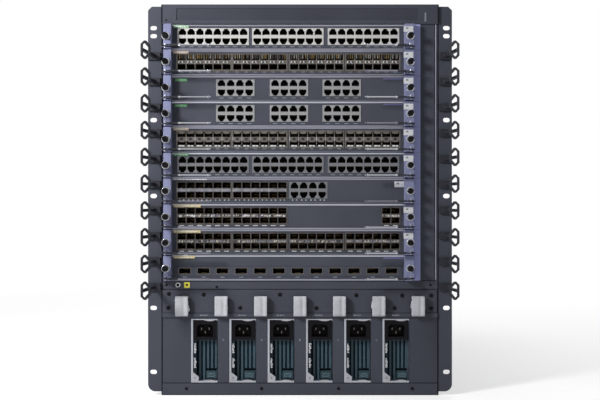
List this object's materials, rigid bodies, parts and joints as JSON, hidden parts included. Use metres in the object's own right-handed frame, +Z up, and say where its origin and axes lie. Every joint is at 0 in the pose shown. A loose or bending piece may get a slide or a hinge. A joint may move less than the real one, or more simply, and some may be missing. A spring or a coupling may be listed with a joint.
{
  "type": "modular chassis switch",
  "caption": "Rack-height network chassis with sliding line cards on ejector levers, plug-in power supplies, rear fan trays, rack ears and cable fingers.",
  "frame": {"origin": "middle of the underside of the base", "axes": "+Z up, the port side faces -Y, +X to the right seen from the front"},
  "size_m": [0.4846, 0.73, 0.62],
  "materials": {
    "chassis_paint": "fine matt texture",
    "panel_paint": "satin",
    "bare_steel": "zinc plated",
    "card_assembly": "satin",
    "lever_steel": "bright plated",
    "ring_plastic": "moulded",
    "guide_plastic": "moulded",
    "label_blue": "printed film",
    "strap_fabric": "hook and loop webbing",
    "circuit_board": "solder mask",
    "psu_metal": "folded bright steel",
    "latch_plastic": "moulded",
    "fan_assembly": "satin",
    "nickel": "nickel plated"
  },
  "bodies": {
    "chassis": {"chassis_tub": "chassis_paint", "top_cover": "chassis_paint", "inner_cage": "bare_steel", "front_frame": "panel_paint", "rear_panel": "chassis_paint", "midplane_board": "circuit_board", "card_guides": "guide_plastic", "rack_ear_left": "chassis_paint", "rack_ear_right": "chassis_paint", "cable_rings": "ring_plastic", "top_bezel": "panel_paint", "slot_label_strip": "label_blue", "power_header_panel": "panel_paint", "foot_strip": "panel_paint", "cord_straps": "strap_fabric", "esd_socket": "nickel"},
    "card_01": {"card_01": "card_assembly"},
    "lever_left_01": {"lever_left_01": "lever_steel"},
    "lever_right_01": {"lever_right_01": "lever_steel"},
    "card_02": {"card_02": "card_assembly"},
    "lever_left_02": {"lever_left_02": "lever_steel"},
    "lever_right_02": {"lever_right_02": "lever_steel"},
    "card_03": {"card_03": "card_assembly"},
    "lever_left_03": {"lever_left_03": "lever_steel"},
    "lever_right_03": {"lever_right_03": "lever_steel"},
    "card_04": {"card_04": "card_assembly"},
    "lever_left_04": {"lever_left_04": "lever_steel"},
    "lever_right_04": {"lever_right_04": "lever_steel"},
    "card_05": {"card_05": "card_assembly"},
    "lever_left_05": {"lever_left_05": "lever_steel"},
    "lever_right_05": {"lever_right_05": "lever_steel"},
    "card_06": {"card_06": "card_assembly"},
    "lever_left_06": {"lever_left_06": "lever_steel"},
    "lever_right_06": {"lever_right_06": "lever_steel"},
    "card_07": {"card_07": "card_assembly"},
    "lever_left_07": {"lever_left_07": "lever_steel"},
    "lever_right_07": {"lever_right_07": "lever_steel"},
    "card_08": {"card_08": "card_assembly"},
    "lever_left_08": {"lever_left_08": "lever_steel"},
    "lever_right_08": {"lever_right_08": "lever_steel"},
    "card_09": {"card_09": "card_assembly"},
    "lever_left_09": {"lever_left_09": "lever_steel"},
    "lever_right_09": {"lever_right_09": "lever_steel"},
    "card_10": {"card_10": "card_assembly"},
    "lever_left_10": {"lever_left_10": "lever_steel"},
    "lever_right_10": {"lever_right_10": "lever_steel"},
    "psu_1": {"psu_1": "psu_metal"},
    "psu_latch_1": {"psu_latch_1": "latch_plastic"},
    "psu_2": {"psu_2": "psu_metal"},
    "psu_latch_2": {"psu_latch_2": "latch_plastic"},
    "psu_3": {"psu_3": "psu_metal"},
    "psu_latch_3": {"psu_latch_3": "latch_plastic"},
    "psu_4": {"psu_4": "psu_metal"},
    "psu_latch_4": {"psu_latch_4": "latch_plastic"},
    "psu_5": {"psu_5": "psu_metal"},
    "psu_latch_5": {"psu_latch_5": "latch_plastic"},
    "psu_6": {"psu_6": "psu_metal"},
    "psu_latch_6": {"psu_latch_6": "latch_plastic"},
    "fan_tray_1": {"fan_tray_1": "fan_assembly"},
    "fan_tray_2": {"fan_tray_2": "fan_assembly"}
  },
  "joints": [
    {"name": "card_01_slide", "type": "slide", "parent": "chassis", "child": "card_01", "axis": [0, -1, 0], "range_m": [0, 0.38]},
    {"name": "lever_left_01_turn", "type": "hinge", "parent": "card_01", "child": "lever_left_01", "pos_m": [-0.212, -0.3289, 0.55216], "axis": [0, 0, -1], "range_deg": [0, 70]},
    {"name": "lever_right_01_turn", "type": "hinge", "parent": "card_01", "child": "lever_right_01", "pos_m": [0.1742, -0.3289, 0.55216], "axis": [0, 0, 1], "range_deg": [0, 70]},
    {"name": "card_02_slide", "type": "slide", "parent": "chassis", "child": "card_02", "axis": [0, -1, 0], "range_m": [0, 0.38]},
    {"name": "lever_left_02_turn", "type": "hinge", "parent": "card_02", "child": "lever_left_02", "pos_m": [-0.212, -0.3289, 0.51152], "axis": [0, 0, -1], "range_deg": [0, 70]},
    {"name": "lever_right_02_turn", "type": "hinge", "parent": "card_02", "child": "lever_right_02", "pos_m": [0.1742, -0.3289, 0.51152], "axis": [0, 0, 1], "range_deg": [0, 70]},
    {"name": "card_03_slide", "type": "slide", "parent": "chassis", "child": "card_03", "axis": [0, -1, 0], "range_m": [0, 0.38]},
    {"name": "lever_left_03_turn", "type": "hinge", "parent": "card_03", "child": "lever_left_03", "pos_m": [-0.212, -0.3289, 0.47088], "axis": [0, 0, -1], "range_deg": [0, 70]},
    {"name": "lever_right_03_turn", "type": "hinge", "parent": "card_03", "child": "lever_right_03", "pos_m": [0.1742, -0.3289, 0.47088], "axis": [0, 0, 1], "range_deg": [0, 70]},
    {"name": "card_04_slide", "type": "slide", "parent": "chassis", "child": "card_04", "axis": [0, -1, 0], "range_m": [0, 0.38]},
    {"name": "lever_left_04_turn", "type": "hinge", "parent": "card_04", "child": "lever_left_04", "pos_m": [-0.212, -0.3289, 0.43024], "axis": [0, 0, -1], "range_deg": [0, 70]},
    {"name": "lever_right_04_turn", "type": "hinge", "parent": "card_04", "child": "lever_right_04", "pos_m": [0.1742, -0.3289, 0.43024], "axis": [0, 0, 1], "range_deg": [0, 70]},
    {"name": "card_05_slide", "type": "slide", "parent": "chassis", "child": "card_05", "axis": [0, -1, 0], "range_m": [0, 0.38]},
    {"name": "lever_left_05_turn", "type": "hinge", "parent": "card_05", "child": "lever_left_05", "pos_m": [-0.212, -0.3289, 0.3896], "axis": [0, 0, -1], "range_deg": [0, 70]},
    {"name": "lever_right_05_turn", "type": "hinge", "parent": "card_05", "child": "lever_right_05", "pos_m": [0.1742, -0.3289, 0.3896], "axis": [0, 0, 1], "range_deg": [0, 70]},
    {"name": "card_06_slide", "type": "slide", "parent": "chassis", "child": "card_06", "axis": [0, -1, 0], "range_m": [0, 0.38]},
    {"name": "lever_left_06_turn", "type": "hinge", "parent": "card_06", "child": "lever_left_06", "pos_m": [-0.212, -0.3289, 0.34896], "axis": [0, 0, -1], "range_deg": [0, 70]},
    {"name": "lever_right_06_turn", "type": "hinge", "parent": "card_06", "child": "lever_right_06", "pos_m": [0.1742, -0.3289, 0.34896], "axis": [0, 0, 1], "range_deg": [0, 70]},
    {"name": "card_07_slide", "type": "slide", "parent": "chassis", "child": "card_07", "axis": [0, -1, 0], "range_m": [0, 0.38]},
    {"name": "lever_left_07_turn", "type": "hinge", "parent": "card_07", "child": "lever_left_07", "pos_m": [-0.212, -0.3289, 0.30832], "axis": [0, 0, -1], "range_deg": [0, 70]},
    {"name": "lever_right_07_turn", "type": "hinge", "parent": "card_07", "child": "lever_right_07", "pos_m": [0.1742, -0.3289, 0.30832], "axis": [0, 0, 1], "range_deg": [0, 70]},
    {"name": "card_08_slide", "type": "slide", "parent": "chassis", "child": "card_08", "axis": [0, -1, 0], "range_m": [0, 0.38]},
    {"name": "lever_left_08_turn", "type": "hinge", "parent": "card_08", "child": "lever_left_08", "pos_m": [-0.212, -0.3289, 0.26768], "axis": [0, 0, -1], "range_deg": [0, 70]},
    {"name": "lever_right_08_turn", "type": "hinge", "parent": "card_08", "child": "lever_right_08", "pos_m": [0.1742, -0.3289, 0.26768], "axis": [0, 0, 1], "range_deg": [0, 70]},
    {"name": "card_09_slide", "type": "slide", "parent": "chassis", "child": "card_09", "axis": [0, -1, 0], "range_m": [0, 0.38]},
    {"name": "lever_left_09_turn", "type": "hinge", "parent": "card_09", "child": "lever_left_09", "pos_m": [-0.212, -0.3289, 0.22704], "axis": [0, 0, -1], "range_deg": [0, 70]},
    {"name": "lever_right_09_turn", "type": "hinge", "parent": "card_09", "child": "lever_right_09", "pos_m": [0.1742, -0.3289, 0.22704], "axis": [0, 0, 1], "range_deg": [0, 70]},
    {"name": "card_10_slide", "type": "slide", "parent": "chassis", "child": "card_10", "axis": [0, -1, 0], "range_m": [0, 0.38]},
    {"name": "lever_left_10_turn", "type": "hinge", "parent": "card_10", "child": "lever_left_10", "pos_m": [-0.212, -0.3289, 0.1864], "axis": [0, 0, -1], "range_deg": [0, 70]},
    {"name": "lever_right_10_turn", "type": "hinge", "parent": "card_10", "child": "lever_right_10", "pos_m": [0.1742, -0.3289, 0.1864], "axis": [0, 0, 1], "range_deg": [0, 70]},
    {"name": "psu_1_slide", "type": "slide", "parent": "chassis", "child": "psu_1", "axis": [0, -1, 0], "range_m": [0, 0.33]},
    {"name": "psu_latch_1_press", "type": "slide", "parent": "psu_1", "child": "psu_latch_1", "axis": [0, 0, 1], "range_m": [0, 0.003], "stiffness_N_per_m": 900, "springref_m": -0.001},
    {"name": "psu_2_slide", "type": "slide", "parent": "chassis", "child": "psu_2", "axis": [0, -1, 0], "range_m": [0, 0.33]},
    {"name": "psu_latch_2_press", "type": "slide", "parent": "psu_2", "child": "psu_latch_2", "axis": [0, 0, 1], "range_m": [0, 0.003], "stiffness_N_per_m": 900, "springref_m": -0.001},
    {"name": "psu_3_slide", "type": "slide", "parent": "chassis", "child": "psu_3", "axis": [0, -1, 0], "range_m": [0, 0.33]},
    {"name": "psu_latch_3_press", "type": "slide", "parent": "psu_3", "child": "psu_latch_3", "axis": [0, 0, 1], "range_m": [0, 0.003], "stiffness_N_per_m": 900, "springref_m": -0.001},
    {"name": "psu_4_slide", "type": "slide", "parent": "chassis", "child": "psu_4", "axis": [0, -1, 0], "range_m": [0, 0.33]},
    {"name": "psu_latch_4_press", "type": "slide", "parent": "psu_4", "child": "psu_latch_4", "axis": [0, 0, 1], "range_m": [0, 0.003], "stiffness_N_per_m": 900, "springref_m": -0.001},
    {"name": "psu_5_slide", "type": "slide", "parent": "chassis", "child": "psu_5", "axis": [0, -1, 0], "range_m": [0, 0.33]},
    {"name": "psu_latch_5_press", "type": "slide", "parent": "psu_5", "child": "psu_latch_5", "axis": [0, 0, 1], "range_m": [0, 0.003], "stiffness_N_per_m": 900, "springref_m": -0.001},
    {"name": "psu_6_slide", "type": "slide", "parent": "chassis", "child": "psu_6", "axis": [0, -1, 0], "range_m": [0, 0.33]},
    {"name": "psu_latch_6_press", "type": "slide", "parent": "psu_6", "child": "psu_latch_6", "axis": [0, 0, 1], "range_m": [0, 0.003], "stiffness_N_per_m": 900, "springref_m": -0.001},
    {"name": "fan_tray_1_slide", "type": "slide", "parent": "chassis", "child": "fan_tray_1", "axis": [0, 1, 0], "range_m": [0, 0.12]},
    {"name": "fan_tray_2_slide", "type": "slide", "parent": "chassis", "child": "fan_tray_2", "axis": [0, 1, 0], "range_m": [0, 0.12]}
  ]
}
